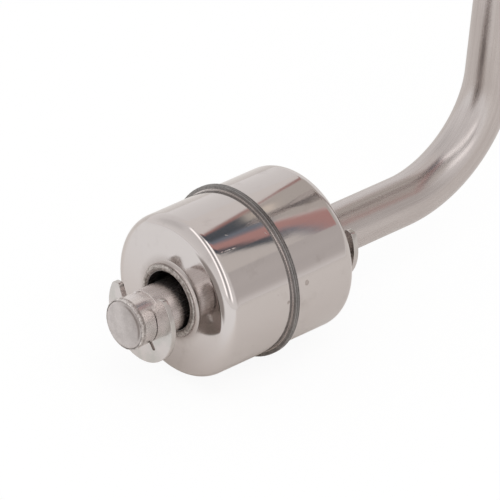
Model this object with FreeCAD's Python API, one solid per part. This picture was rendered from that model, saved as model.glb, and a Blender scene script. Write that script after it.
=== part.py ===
import FreeCAD, Part
import math
import os

# Side-mounted float level switch, all sizes in millimetres.
#
# An L-shaped stainless stem carries a hollow float between two spring clips.
# The frame has +Z up along the mounting leg. The origin is on the leg's axis, in the
# plane where the tank wall lies on the gasket. The float leg points along -X.

X = FreeCAD.Vector(1, 0, 0)
Y = FreeCAD.Vector(0, 1, 0)
Z = FreeCAD.Vector(0, 0, 1)

# ---- stem: a drawn tube with one right-angle bend
STEM_R = 3.88
STEM_WALL = 1.0
BEND_R = 17.0             # radius of the tube's centre line in the bend
LEG_DROP = 60.0           # from the tank seat down to the float leg's axis
TUBE_TIP_X = -72.3        # free end of the tube, before its plug

# ---- welded plug that closes the free end
PLUG_CAP = 0.7            # thickness that stands out of the tube
PLUG_STEP = 0.1           # of the cap's rim below the tube's surface
PLUG_EDGE = 0.4           # round on the cap's rim
PLUG_SPIGOT = 3.0         # length inside the tube
PLUG_CLEARANCE = 0.03
END_WELD_WIDTH = 0.95     # bead over the joint of tube and plug
END_WELD_HEIGHT = 0.09

# ---- spring clips (retaining rings) in grooves of the stem
CLIP_R = 7.0
CLIP_THICKNESS = 0.9
CLIP_GRIP_CLEARANCE = 0.02
CLIP_GRIP_RISE = 1.1      # of the gripping corners beyond the stem's axis
CLIP_TIP_HEIGHT = 4.3     # from the stem's axis to the ends of the arms
CLIP_TIP_SPREAD = 4.25    # from the middle of the opening to an arm end's inner corner
CLIP_TIP_ROUND = 0.6
CLIP_SLOT_ANGLE = 150.0   # of each relief slot, from the middle of the opening
CLIP_SLOT_WIDTH = 0.7
CLIP_SLOT_R = 5.2
GROOVE_R = 3.5
GROOVE_PLAY = 0.25        # axial room beside a clip
FRONT_CLIP_X = -69.5      # outer face of each clip
REAR_CLIP_X = -32.2
FRONT_CLIP_TURN = -13.0   # of each opening about the stem, from straight up
REAR_CLIP_TURN = 6.0

# ---- float: two drawn cups on a guide tube
FLOAT_R = 12.7
FLOAT_HALF = 12.8         # from the seam to a flat end face
FLOAT_WALL = 0.5
FLOAT_SHOULDER = 2.2
FLOAT_X = -50.5           # seam plane at rest
FLOAT_SIDE_SAG = 0.12     # the bore is loose, so the float lies off the stem's axis
FLOAT_LIFT = 0.70
BORE_R = 4.65
GUIDE_WALL = 0.5
NECK_FLARE = 0.6          # outer radius where the flat end turns out into the neck
NECK_STRAIGHT = 0.05      # of the neck beyond its flare
NECK_CLEARANCE = 0.03
SEAM_HEIGHT = 0.74        # of the ridge that the weld leaves round the float
SEAM_WIDTH = 0.85
SEAM_EDGE = 0.16          # round on the ridge's rims
SEAM_ROOT = 0.5           # width of the weld between the two cups
SEAM_CLEARANCE = 0.02
MOUTH_BEAD = 0.32         # height of the weld on the neck's end
MOUTH_BEAD_INSET = 0.05   # of the bead from the bore

# ---- magnet in the float
MAGNET_LENGTH = 6.0
MAGNET_R = 8.6
MAGNET_SHIFT = 3.0        # from the seam towards the free end
MAGNET_CLEARANCE = 0.06
HOLDER_WALL = 0.6

# ---- reed contact in the stem
GLASS_R = 1.15
GLASS_WALL = 0.3
GLASS_END_WALL = 1.2
GLASS_ROUND = 0.85
GLASS_LENGTH = 14.0
GLASS_LIFT = 1.0          # of the glass above the stem's axis
REED_X = -50.0            # middle of the glass, under the magnet when the float is at the rear
BLADE_WIDTH = 1.1
BLADE_THICKNESS = 0.2
BLADE_OVERLAP = 1.2
CONTACT_GAP = 0.2
REED_LEAD_R = 0.25
REED_LEAD_OUT = 2.0       # straight lead beyond each end of the glass
SLEEVE_WALL = 0.5
SLEEVE_CLEARANCE = 0.1
SLEEVE_OVERRUN = 2.5      # beyond the soldered leads

# ---- lead wires, up to the potted end of the stud
WIRE_R = 0.5
RETURN_WIRE_DROP = 1.6    # of the return wire below the stem's axis

# ---- mounting end: hexagon, threaded stud and gasket
HEX_ACROSS_FLATS = 17.0
HEX_HEIGHT = 8.0
HEX_CORNER_BEVEL = 0.9
SOCKET_DEPTH = 5.0
SOCKET_CLEARANCE = 0.05
STUD_R = 5.0
STUD_LENGTH = 20.0        # beyond the tank seat
STUD_BEVEL = 0.8
THREAD_PITCH = 1.5
THREAD_DEPTH = 0.8
THREAD_CREST = 0.25       # flat on each crest
THREAD_ROOT = 0.3         # flat at each root
STUD_RELIEF = 1.5
STUD_BORE_R = 2.6
POTTING_DEPTH = 9.0
POTTING_RECESS = 0.5      # of its face below the stud's end
FITTING_WELD = 1.4        # leg length of the fillet weld round the stem
GASKET_R = 8.2
GASKET_BORE_R = 5.3
GASKET_THICKNESS = 1.5

# ---- worked out from the sizes above
LEG_Z = -LEG_DROP
STEM_BORE_R = STEM_R - STEM_WALL
PLUG_R = STEM_R - PLUG_STEP
HEX_TOP_Z = -GASKET_THICKNESS
HEX_BOTTOM_Z = HEX_TOP_Z - HEX_HEIGHT
TUBE_TOP_Z = HEX_BOTTOM_Z + SOCKET_DEPTH
GUIDE_R = BORE_R + GUIDE_WALL
NECK_BORE_R = GUIDE_R + NECK_CLEARANCE
NECK_R = NECK_BORE_R + FLOAT_WALL
NECK_END = FLOAT_HALF + NECK_FLARE + NECK_STRAIGHT
MAGNET_BORE_R = GUIDE_R + MAGNET_CLEARANCE
MAGNET_X = FLOAT_X - MAGNET_SHIFT
GLASS_Z = LEG_Z + GLASS_LIFT
POTTING_TOP_Z = STUD_LENGTH - POTTING_RECESS
LEAD_TURN_R = (GLASS_LIFT + RETURN_WIRE_DROP) / 2
LEAD_END = GLASS_LENGTH / 2 + REED_LEAD_OUT   # from the middle of the glass

STEM_AXIS = FreeCAD.Vector(0, 0, LEG_Z)
FLOAT_AXIS = FreeCAD.Vector(FLOAT_X, FLOAT_SIDE_SAG, LEG_Z + FLOAT_LIFT)
ORIGIN = FreeCAD.Vector(0, 0, 0)


def save(name, shape):
    """Write one sub-part to its own STEP file."""
    shape.exportStep(f"parts/{name}.step")
    print(f"{name}: {len(shape.Solids)} solid, {shape.Volume:.2f} mm3, valid {shape.isValid()}")


def line(a, b):
    return Part.LineSegment(a, b).toShape()


def arc(a, middle, b):
    return Part.Arc(a, middle, b).toShape()


def rounded_corner(before, corner, after, radius):
    """Start, middle and end of the arc that rounds a corner, or the corner three times."""
    if radius == 0:
        return corner, corner, corner
    back = (before - corner).normalize()
    on = (after - corner).normalize()
    half_angle = back.getAngle(on) / 2
    tangent = radius / math.tan(half_angle)
    inwards = (back + on).normalize()
    middle = corner + inwards * (radius / math.sin(half_angle) - radius)
    return corner + back * tangent, middle, corner + on * tangent


def outline(corners):
    """Closed face through corners, each of them a point and the radius that rounds it."""
    points = [corner for corner, _ in corners]
    turns = []
    for i, (corner, radius) in enumerate(corners):
        after = points[(i + 1) % len(points)]
        turns.append(rounded_corner(points[i - 1], corner, after, radius))
    edges = []
    for i, (start, middle, end) in enumerate(turns):
        if (start - end).Length > 0:
            edges.append(arc(start, middle, end))
        following = turns[(i + 1) % len(turns)][0]
        if (following - end).Length > 1e-6:
            edges.append(line(end, following))
    return Part.Face(Part.Wire(edges))


def turned(sections, centre, axis, out, up):
    """Solid of revolution about an axis.

    Each section point is its distance along out, its radius along up and its rounding.
    """
    corners = [(centre + out * a + up * r, rounding) for a, r, rounding in sections]
    return outline(corners).revolve(centre, axis, 360)


def turned_on_leg(sections, centre=STEM_AXIS, out=X):
    """Piece turned about an axis parallel to the float leg."""
    return turned(sections, centre, X, out, Z)


def turned_on_stud(sections):
    """Piece turned about the mounting leg's axis, from heights above the tank seat."""
    return turned(sections, ORIGIN, Z, Z, X)


def box_section(start, end, inner_r, outer_r):
    """Section of a plain ring, or of a disc where the inner radius is 0."""
    return [(start, inner_r, 0), (end, inner_r, 0), (end, outer_r, 0), (start, outer_r, 0)]


# ---- stem

def bent_rod(radius, x_start, z_end, lift=0.0):
    """Round bar along the float leg, round the bend and up the mounting leg.

    Its axis lies above the float leg's axis by lift, on the inside of the bend.
    """
    foot_z = LEG_Z + BEND_R
    bend_start = FreeCAD.Vector(-BEND_R, 0, LEG_Z + lift)
    along = Part.makeCylinder(radius, -BEND_R - x_start, FreeCAD.Vector(x_start, 0, bend_start.z), X)
    section = Part.Face(Part.Wire(Part.makeCircle(radius, bend_start, X)))
    bend = section.revolve(FreeCAD.Vector(-BEND_R, 0, foot_z), Y * -1, 90)
    up = Part.makeCylinder(radius, z_end - foot_z, FreeCAD.Vector(-lift, 0, foot_z), Z)
    return along.fuse([bend, up]).removeSplitter()


def clip_groove(start):
    """Cutter for one clip's groove, from its start along the stem."""
    end = start + CLIP_THICKNESS + GROOVE_PLAY
    return turned_on_leg(box_section(start, end, GROOVE_R, 2 * STEM_R))


def stem_tube():
    tube = bent_rod(STEM_R, TUBE_TIP_X, TUBE_TOP_Z)
    bore = bent_rod(STEM_BORE_R, TUBE_TIP_X - STEM_WALL, TUBE_TOP_Z + STEM_WALL)
    front_groove = clip_groove(FRONT_CLIP_X - GROOVE_PLAY)
    rear_groove = clip_groove(REAR_CLIP_X - CLIP_THICKNESS)
    return tube.cut([bore, front_groove, rear_groove])


def stem_end_plug():
    """Turned plug: a cap with a rounded rim and a spigot inside the tube."""
    spigot_r = STEM_BORE_R - PLUG_CLEARANCE
    return turned_on_leg([
        (TUBE_TIP_X - PLUG_CAP, 0, 0),
        (TUBE_TIP_X - PLUG_CAP, PLUG_R, PLUG_EDGE),
        (TUBE_TIP_X, PLUG_R, 0),
        (TUBE_TIP_X, spigot_r, 0),
        (TUBE_TIP_X + PLUG_SPIGOT, spigot_r, 0),
        (TUBE_TIP_X + PLUG_SPIGOT, 0, 0),
    ])


def stem_end_weld():
    """Low round bead that joins the tube's end to the plug's rim."""
    joint = STEM_AXIS + X * TUBE_TIP_X
    on_plug = joint - X * (END_WELD_WIDTH / 2) + Z * PLUG_R
    crest = joint + Z * (STEM_R + END_WELD_HEIGHT)
    on_tube = joint + X * (END_WELD_WIDTH / 2) + Z * STEM_R
    tube_edge = joint + Z * STEM_R
    root = joint + Z * PLUG_R
    bead = Part.Wire([
        arc(on_plug, crest, on_tube),
        line(on_tube, tube_edge),
        line(tube_edge, root),
        line(root, on_plug),
    ])
    return Part.Face(bead).revolve(STEM_AXIS, X, 360)


def is_tip_corner(edge):
    """Is this one of a clip's edges along the stem, at the end of an arm?"""
    a, b = (vertex.Point for vertex in (edge.Vertexes[0], edge.Vertexes[-1]))
    along_stem = abs(a.x - b.x) > CLIP_THICKNESS / 2
    return along_stem and abs(a.z - CLIP_TIP_HEIGHT) < 1e-6


def clip(rear_x, turn):
    """Stamped retaining ring that grips the groove, open at one side, with two relief slots."""
    depth = X * CLIP_THICKNESS
    grip_r = GROOVE_R + CLIP_GRIP_CLEARANCE
    disc = Part.makeCylinder(CLIP_R, CLIP_THICKNESS, ORIGIN, X)
    hole = Part.makeCylinder(grip_r, CLIP_THICKNESS, ORIGIN, X)
    half_mouth = math.sqrt(grip_r ** 2 - CLIP_GRIP_RISE ** 2)
    right_side = [(half_mouth, 0), (half_mouth, CLIP_GRIP_RISE), (CLIP_TIP_SPREAD, CLIP_TIP_HEIGHT),
                  (2 * CLIP_R, CLIP_TIP_HEIGHT), (2 * CLIP_R, 2 * CLIP_R)]
    left_side = [(-y, z) for y, z in reversed(right_side)]
    corners = [(FreeCAD.Vector(0, y, z), 0) for y, z in right_side + left_side]
    opening = outline(corners).extrude(depth)
    cutters = [hole, opening]
    for angle in (CLIP_SLOT_ANGLE, -CLIP_SLOT_ANGLE):
        reach = CLIP_SLOT_R - CLIP_SLOT_WIDTH / 2
        slot = Part.makeBox(CLIP_THICKNESS, CLIP_SLOT_WIDTH, reach,
                            FreeCAD.Vector(0, -CLIP_SLOT_WIDTH / 2, 0))
        end = Part.makeCylinder(CLIP_SLOT_WIDTH / 2, CLIP_THICKNESS, Z * reach, X)
        cutters.append(slot.fuse(end).rotate(ORIGIN, X, angle))
    ring = disc.cut(cutters).removeSplitter()
    ring = ring.makeFillet(CLIP_TIP_ROUND, [edge for edge in ring.Edges if is_tip_corner(edge)])
    ring.rotate(ORIGIN, X, turn)
    ring.translate(STEM_AXIS + X * (rear_x - CLIP_THICKNESS))
    return ring


# ---- float

def float_shell(out):
    """Drawn cup: wall, rounded shoulder, flat end and a neck that flares out of the end."""
    inner_r = FLOAT_R - FLOAT_WALL
    inner_half = FLOAT_HALF - FLOAT_WALL
    seam = SEAM_ROOT / 2
    return turned_on_leg([
        (seam, FLOAT_R, 0),
        (FLOAT_HALF, FLOAT_R, FLOAT_SHOULDER),
        (FLOAT_HALF, NECK_R, NECK_FLARE),
        (NECK_END, NECK_R, 0),
        (NECK_END, NECK_BORE_R, 0),
        (inner_half, NECK_BORE_R, NECK_FLARE + FLOAT_WALL),
        (inner_half, inner_r, FLOAT_SHOULDER - FLOAT_WALL),
        (seam, inner_r, 0),
    ], FLOAT_AXIS, out)


def float_seam_weld():
    """Weld ridge: a root between the two cups and a flat crest outside them."""
    foot_r = FLOAT_R + SEAM_CLEARANCE
    crest_r = FLOAT_R + SEAM_HEIGHT
    return turned_on_leg([
        (-SEAM_ROOT / 2, FLOAT_R - FLOAT_WALL, 0),
        (-SEAM_ROOT / 2, foot_r, 0),
        (-SEAM_WIDTH / 2, foot_r, 0),
        (-SEAM_WIDTH / 2, crest_r, SEAM_EDGE),
        (SEAM_WIDTH / 2, crest_r, SEAM_EDGE),
        (SEAM_WIDTH / 2, foot_r, 0),
        (SEAM_ROOT / 2, foot_r, 0),
        (SEAM_ROOT / 2, FLOAT_R - FLOAT_WALL, 0),
    ], FLOAT_AXIS)


def float_guide_tube():
    return turned_on_leg(box_section(-NECK_END, NECK_END, BORE_R, GUIDE_R), FLOAT_AXIS)


def float_mouth_bead(out):
    """Domed weld that closes the end of a neck on the guide tube."""
    inner_r = BORE_R + MOUTH_BEAD_INSET
    middle_r = (inner_r + NECK_R) / 2
    inner = FLOAT_AXIS + out * NECK_END + Z * inner_r
    outer = FLOAT_AXIS + out * NECK_END + Z * NECK_R
    crown = FLOAT_AXIS + out * (NECK_END + MOUTH_BEAD) + Z * middle_r
    bead = Part.Face(Part.Wire([arc(inner, crown, outer), line(outer, inner)]))
    return bead.revolve(FLOAT_AXIS, X, 360)


def ring_magnet():
    start = MAGNET_X - MAGNET_LENGTH / 2 - FLOAT_X
    return turned_on_leg(
        box_section(start, start + MAGNET_LENGTH, MAGNET_BORE_R, MAGNET_R), FLOAT_AXIS)


def magnet_holder():
    """Pressed cup that carries the magnet on the guide tube."""
    start = MAGNET_X - MAGNET_LENGTH / 2 - FLOAT_X
    seat = start + MAGNET_LENGTH
    wall_r = MAGNET_R + MAGNET_CLEARANCE
    return turned_on_leg([
        (start, wall_r, 0),
        (start, wall_r + HOLDER_WALL, 0),
        (seat + HOLDER_WALL, wall_r + HOLDER_WALL, HOLDER_WALL),
        (seat + HOLDER_WALL, MAGNET_BORE_R, 0),
        (seat, MAGNET_BORE_R, 0),
        (seat, wall_r, 0),
    ], FLOAT_AXIS)


# ---- reed contact and its wires

def reed_glass():
    """Sealed glass tube with a lead through each end."""
    cavity = GLASS_LENGTH / 2 - GLASS_END_WALL
    cavity_r = GLASS_R - GLASS_WALL
    half = GLASS_LENGTH / 2
    middle = FreeCAD.Vector(REED_X, 0, GLASS_Z)
    return turned_on_leg([
        (-half, REED_LEAD_R, 0),
        (-half, GLASS_R, GLASS_ROUND),
        (half, GLASS_R, GLASS_ROUND),
        (half, REED_LEAD_R, 0),
        (cavity, REED_LEAD_R, 0),
        (cavity, cavity_r, GLASS_WALL),
        (-cavity, cavity_r, GLASS_WALL),
        (-cavity, REED_LEAD_R, 0),
    ], middle)


def reed_blade(side):
    """Round lead through the glass, flattened inside it into a contact blade."""
    root = GLASS_LENGTH / 2 - GLASS_END_WALL
    lead_start = min(side * (root - BLADE_WIDTH / 2), side * LEAD_END)
    lead_length = LEAD_END - root + BLADE_WIDTH / 2
    lead = Part.makeCylinder(
        REED_LEAD_R, lead_length, FreeCAD.Vector(REED_X + lead_start, 0, GLASS_Z), X)
    blade_length = root + BLADE_OVERLAP / 2
    blade_start = -BLADE_OVERLAP / 2 if side > 0 else -root
    blade_z = GLASS_Z - BLADE_THICKNESS / 2 - side * (CONTACT_GAP + BLADE_THICKNESS) / 2
    blade = Part.makeBox(blade_length, BLADE_WIDTH, BLADE_THICKNESS,
                         FreeCAD.Vector(REED_X + blade_start, -BLADE_WIDTH / 2, blade_z))
    return lead.fuse(blade).removeSplitter()


def fixed_reed():
    """The free-end reed, with its lead turned back to the return wire."""
    turn_x = REED_X - LEAD_END
    section = Part.Face(Part.Wire(Part.makeCircle(
        REED_LEAD_R, FreeCAD.Vector(turn_x, 0, GLASS_Z), X)))
    turn = section.revolve(FreeCAD.Vector(turn_x, 0, GLASS_Z - LEAD_TURN_R), Y * -1, 180)
    return reed_blade(-1).fuse(turn).removeSplitter()


def reed_sleeve():
    outer_r = STEM_BORE_R - SLEEVE_CLEARANCE
    start = REED_X - LEAD_END - LEAD_TURN_R - SLEEVE_OVERRUN
    end = REED_X + LEAD_END + SLEEVE_OVERRUN
    return turned_on_leg(box_section(start, end, outer_r - SLEEVE_WALL, outer_r))


def signal_wire():
    return bent_rod(WIRE_R, REED_X + LEAD_END, POTTING_TOP_Z, GLASS_LIFT)


def return_wire():
    return bent_rod(WIRE_R, REED_X - LEAD_END, POTTING_TOP_Z, -RETURN_WIRE_DROP)


# ---- mounting end

def thread_rings(start, end):
    """Section points of ring grooves at the thread's pitch, between two heights on the stud.

    The last crest is at the end, and what is left over is a plain land at the start.
    """
    root_r = STUD_R - THREAD_DEPTH
    flank = (THREAD_PITCH - THREAD_CREST - THREAD_ROOT) / 2
    turns = math.floor((end - start - THREAD_CREST) / THREAD_PITCH)
    points = []
    for i in range(turns):
        groove = end - THREAD_CREST - (turns - i) * THREAD_PITCH
        points.append((groove, STUD_R, 0))
        points.append((groove + flank, root_r, 0))
        points.append((groove + flank + THREAD_ROOT, root_r, 0))
        points.append((groove + 2 * flank + THREAD_ROOT, STUD_R, 0))
    return points


def mount_fitting():
    """Hexagon with a socket for the stem, and a hollow threaded stud with a relief under the gasket.

    The thread is a row of rings at its pitch, not a helix.
    """
    corner_r = HEX_ACROSS_FLATS / math.sqrt(3)
    corners = []
    for i in range(6):
        angle = math.radians(60 * i)
        corner = FreeCAD.Vector(corner_r * math.cos(angle), corner_r * math.sin(angle), HEX_BOTTOM_Z)
        corners.append((corner, 0))
    hexagon = outline(corners).extrude(Z * HEX_HEIGHT)
    bevel_drop = HEX_CORNER_BEVEL / math.sqrt(3)
    blank = turned_on_stud([
        (HEX_BOTTOM_Z, 0, 0),
        (HEX_BOTTOM_Z, corner_r - HEX_CORNER_BEVEL, 0),
        (HEX_BOTTOM_Z + bevel_drop, corner_r, 0),
        (HEX_TOP_Z - bevel_drop, corner_r, 0),
        (HEX_TOP_Z, corner_r - HEX_CORNER_BEVEL, 0),
        (HEX_TOP_Z, 0, 0),
    ])
    relief_r = STUD_R - THREAD_DEPTH
    relief_top = HEX_TOP_Z + STUD_RELIEF
    thread_end = STUD_LENGTH - STUD_BEVEL
    stud = turned_on_stud([
        (HEX_TOP_Z, 0, 0),
        (HEX_TOP_Z, relief_r, 0),
        (relief_top, relief_r, 0),
        (relief_top, STUD_R, 0),
        *thread_rings(relief_top, thread_end),
        (thread_end, STUD_R, 0),
        (STUD_LENGTH, STUD_R - STUD_BEVEL, 0),
        (STUD_LENGTH, 0, 0),
    ])
    socket = turned_on_stud(
        box_section(HEX_BOTTOM_Z, TUBE_TOP_Z, 0, STEM_R + SOCKET_CLEARANCE))
    wire_bore = turned_on_stud(box_section(TUBE_TOP_Z, STUD_LENGTH, 0, STUD_BORE_R))
    return hexagon.common(blank).fuse(stud).removeSplitter().cut([socket, wire_bore])


def fitting_weld():
    """Fillet weld round the stem, under the hexagon."""
    inner_r = STEM_R + SOCKET_CLEARANCE
    return turned_on_stud([
        (HEX_BOTTOM_Z, inner_r, 0),
        (HEX_BOTTOM_Z, inner_r + FITTING_WELD, 0),
        (HEX_BOTTOM_Z - FITTING_WELD, inner_r, 0),
    ])


def gasket():
    return turned_on_stud(box_section(HEX_TOP_Z, 0, GASKET_BORE_R, GASKET_R))


def potting():
    """Resin that closes the stud round the two wires."""
    resin = turned_on_stud(
        box_section(POTTING_TOP_Z - POTTING_DEPTH, POTTING_TOP_Z, 0, STUD_BORE_R))
    return resin.cut([signal_wire(), return_wire()])


os.makedirs("parts", exist_ok=True)
save("stem_tube", stem_tube())
save("stem_end_plug", stem_end_plug())
save("stem_end_weld", stem_end_weld())
save("front_clip", clip(FRONT_CLIP_X + CLIP_THICKNESS, FRONT_CLIP_TURN))
save("rear_clip", clip(REAR_CLIP_X, REAR_CLIP_TURN))
save("float_front_shell", float_shell(-X))
save("float_rear_shell", float_shell(X))
save("float_seam_weld", float_seam_weld())
save("float_guide_tube", float_guide_tube())
save("float_front_bead", float_mouth_bead(-X))
save("float_rear_bead", float_mouth_bead(X))
save("ring_magnet", ring_magnet())
save("magnet_holder", magnet_holder())
save("reed_glass", reed_glass())
save("fixed_reed", fixed_reed())
save("moving_reed", reed_blade(1))
save("reed_sleeve", reed_sleeve())
save("signal_wire", signal_wire())
save("return_wire", return_wire())
save("mount_fitting", mount_fitting())
save("fitting_weld", fitting_weld())
save("gasket", gasket())
save("potting", potting())
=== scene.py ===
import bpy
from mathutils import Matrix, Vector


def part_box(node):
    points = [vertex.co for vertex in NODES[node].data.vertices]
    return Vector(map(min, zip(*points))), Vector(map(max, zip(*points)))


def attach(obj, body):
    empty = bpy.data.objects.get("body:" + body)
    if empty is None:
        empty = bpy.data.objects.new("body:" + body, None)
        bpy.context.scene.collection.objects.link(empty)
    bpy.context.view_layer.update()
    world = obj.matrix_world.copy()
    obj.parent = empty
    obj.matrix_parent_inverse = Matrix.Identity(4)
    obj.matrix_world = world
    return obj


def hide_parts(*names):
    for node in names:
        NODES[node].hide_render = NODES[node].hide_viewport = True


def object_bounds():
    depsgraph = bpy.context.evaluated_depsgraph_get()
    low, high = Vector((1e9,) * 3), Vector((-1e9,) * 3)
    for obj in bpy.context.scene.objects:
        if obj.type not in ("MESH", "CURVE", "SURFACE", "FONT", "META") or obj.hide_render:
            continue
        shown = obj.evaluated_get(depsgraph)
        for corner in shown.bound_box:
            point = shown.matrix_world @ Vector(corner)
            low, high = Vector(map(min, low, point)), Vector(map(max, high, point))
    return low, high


bl_info = {
    "name": "Float level switch",
    "version": (1, 0, 0),
    "blender": (4, 5, 0),
    "location": "3D View > Sidebar > Level Switch",
    "description": "Side-mounted float level switch with a bent stainless stem",
    "category": "Object",
}

import math
from functools import partialmethod

import bmesh
import bpy
from bpy.props import FloatProperty, FloatVectorProperty, IntProperty, PointerProperty
from mathutils import Matrix, Vector

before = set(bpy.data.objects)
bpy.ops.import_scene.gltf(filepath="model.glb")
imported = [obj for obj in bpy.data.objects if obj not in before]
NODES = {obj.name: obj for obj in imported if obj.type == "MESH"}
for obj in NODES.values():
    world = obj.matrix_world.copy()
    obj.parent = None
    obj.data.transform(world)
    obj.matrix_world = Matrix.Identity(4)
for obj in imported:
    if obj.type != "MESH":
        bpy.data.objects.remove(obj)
CAD_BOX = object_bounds()

METRE = 1.0
MM = 0.001
HAIR = 1e-6  # a length too small to be seen
ORIGIN = Vector((0, 0, 0))
STEM_LOW, STEM_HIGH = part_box("stem_tube")
PLUG_LOW, PLUG_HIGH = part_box("stem_end_plug")
SHELL_LOW, SHELL_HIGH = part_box("float_front_shell")
SEAM_LOW, SEAM_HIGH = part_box("float_seam_weld")
FITTING_LOW, FITTING_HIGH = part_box("mount_fitting")
GASKET_LOW, GASKET_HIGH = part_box("gasket")
CUP_RADIUS = (SHELL_HIGH.y - SHELL_LOW.y) / 2
LEG_AXIS = Vector((0, 0, STEM_LOW.z + STEM_HIGH.y))  # on the axis of the leg that holds the float
FLOAT_AXIS = (SEAM_LOW + SEAM_HIGH) / 2


# ---- sizes and colours that a user may change

def length(name, description, default, unit=MM):
    """A length; its default is in mm unless another unit is given."""
    return FloatProperty(name=name, description=description, default=default * unit, min=0.0,
                         unit="LENGTH", subtype="DISTANCE", precision=5)


def degrees(name, description, default):
    return FloatProperty(name=name, description=description, default=math.radians(default),
                         subtype="ANGLE")


def count(name, description, default, low=3):
    return IntProperty(name=name, description=description, default=default, min=low)


def colour(name, description, default):
    return FloatVectorProperty(name=name, description=description, default=default, min=0.0,
                               max=1.0, subtype="COLOR")


class StemSizes(bpy.types.PropertyGroup):
    wall: length("Wall", "Wall of the drawn tube", 1.0)
    bend_radius: length("Bend radius", "Radius of the tube's centre line in the bend", 17.0)
    groove_depth: length("Groove depth", "Depth of the clips' grooves", 0.38)
    groove_play: length("Groove play", "Room beside a clip in its groove", 0.25)
    sides: count("Sides", "Facets round the tube", 128)
    end_edge: length("End edge", "Round on the plug's rim", 0.55)
    spigot_play: length("Spigot play", "Room round the plug's spigot", 0.03)


class ClipSizes(bpy.types.PropertyGroup):
    edge: length("Edge", "Round on a stamped edge", 0.07)
    steps: count("Steps", "Facets across a rounded edge", 3, 1)
    lean: degrees("Lean", "Tilt of a loose clip in its groove", 1.2)
    stand_back: length("Stand back", "Play taken up away from the float", 0.12)


class FloatSizes(bpy.types.PropertyGroup):
    wall: length("Wall", "Sheet of the two cups", 0.5)
    shoulder: length("Shoulder", "Outer radius from the side to the flat end", 2.2)
    flare: length("Neck flare", "Radius where the flat end turns into the neck", 0.6)
    neck: length("Neck", "How far a neck stands out of the flat end", 0.65)
    root: length("Root", "Half the gap between the cups, under the seam", 0.25)
    guide_play: length("Guide play", "Room between a neck and the guide tube", 0.03)
    sides: count("Sides", "Facets round the float", 256)


class WeldSizes(bpy.types.PropertyGroup):
    seam_ripples: count("Seam ripples", "Ripples round the float's seam", 190)
    mouth_ripples: count("Mouth ripples", "Ripples round a neck's weld", 46)
    stem_ripples: count("Stem ripples", "Ripples round a weld on the stem", 40)
    depth: length("Depth", "Depth of a ripple", 0.05)
    seam_edge: length("Seam edge", "Round on the seam's crest", 0.12)
    seam_foot: length("Seam foot", "Height at which the bright sheet turns into seam", 0.15)
    mouth_width: length("Mouth width", "Width of the bead round a neck", 0.98)
    hollow: length("Hollow", "How far the fitting's weld is sunk in", 0.16)


class FittingSizes(bpy.types.PropertyGroup):
    stud_radius: length("Stud radius", "Radius over the thread's crests", 5.0)
    pitch: length("Pitch", "Pitch of the stud's thread", 1.5)
    thread_depth: length("Thread depth", "From crest to root of the thread", 0.8)
    stud_bevel: length("Stud bevel", "Bevel at the stud's end", 0.8)
    relief_height: length("Relief height", "Plain neck between hexagon and thread", 1.5)
    relief_radius: length("Relief radius", "Radius of that neck", 4.2)
    bore: length("Bore", "Radius of the cable bore", 2.6)
    socket_play: length("Socket play", "Room round the stem in the hexagon", 0.05)
    hexagon_bevel: length("Hexagon bevel", "Turned off each corner of the hexagon", 0.9)
    sides: count("Sides", "Facets round the stud", 96)
    rows: count("Rows", "Facets along the stud", 300)
    gasket_bore: length("Gasket bore", "Radius of the gasket's hole", 5.3)
    gasket_edge: length("Gasket edge", "Round on the gasket's rims", 0.25)


class Finishes(bpy.types.PropertyGroup):
    steel: colour("Steel", "Stainless steel in white light", (0.60, 0.556, 0.54))
    seam: colour("Seam", "Ground weld of the float's seam", (0.20, 0.19, 0.185))
    rubber: colour("Rubber", "Gasket", (0.022, 0.022, 0.023))
    potting: colour("Potting", "Cast resin at the cable's exit", (0.03, 0.03, 0.032))
    sleeve: colour("Sleeve", "Shrunk sleeve round the reed contact", (0.55, 0.53, 0.47))
    signal: colour("Signal wire", "Insulation of the signal wire", (0.42, 0.03, 0.025))
    back: colour("Return wire", "Insulation of the return wire", (0.03, 0.03, 0.035))


class StageSettings(bpy.types.PropertyGroup):
    lamp_power: FloatProperty(name="Lamp", description="Power of the soft lamp", default=1.5,
                              unit="POWER")
    lamp_size: length("Lamp size", "Side of the square lamp", 0.5, METRE)
    sky: FloatProperty(name="Sky", description="Strength of the white surround", default=0.72,
                       min=0.0, max=1.0)
    floor_size: length("Floor size", "Side of the square floor", 3.0, METRE)
    azimuth: degrees("Azimuth", "Camera's turn round the switch", -45.654)
    elevation: degrees("Elevation", "Camera's height over the floor", 33.555)
    roll: degrees("Roll", "Camera's lean", 5.449)
    distance: length("Distance", "From the camera to what it aims at", 0.9075, METRE)
    lens: FloatProperty(name="Lens", description="Focal length in millimetres", default=432.0)


WHITE = (1.0, 1.0, 1.0)

# What the float mirrors overhead: a pale ceiling with dark and red things on it. The stops are
# the bands across its front.
ROOM = (0.88, 0.85, 0.83)
DIM_ROOM = (0.73, 0.70, 0.67)
SLATE = (0.10, 0.115, 0.135)
DULL_BLUE = (0.22, 0.25, 0.30)
RED = (0.57, 0.33, 0.31)
DEEP_RED = (0.42, 0.235, 0.22)
TAN = (0.95, 0.86, 0.76)
GREY = (0.60, 0.565, 0.53)
GLINT = (1.0, 0.97, 0.93)
FRONT_STOPS = [
    (0.0, DIM_ROOM), (0.06, DIM_ROOM), (0.10, SLATE), (0.23, SLATE), (0.29, RED), (0.44, RED),
    (0.50, DULL_BLUE), (0.56, DULL_BLUE), (0.61, SLATE), (0.81, SLATE), (0.85, DEEP_RED),
    (0.89, DEEP_RED), (0.94, ROOM)]

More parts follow.
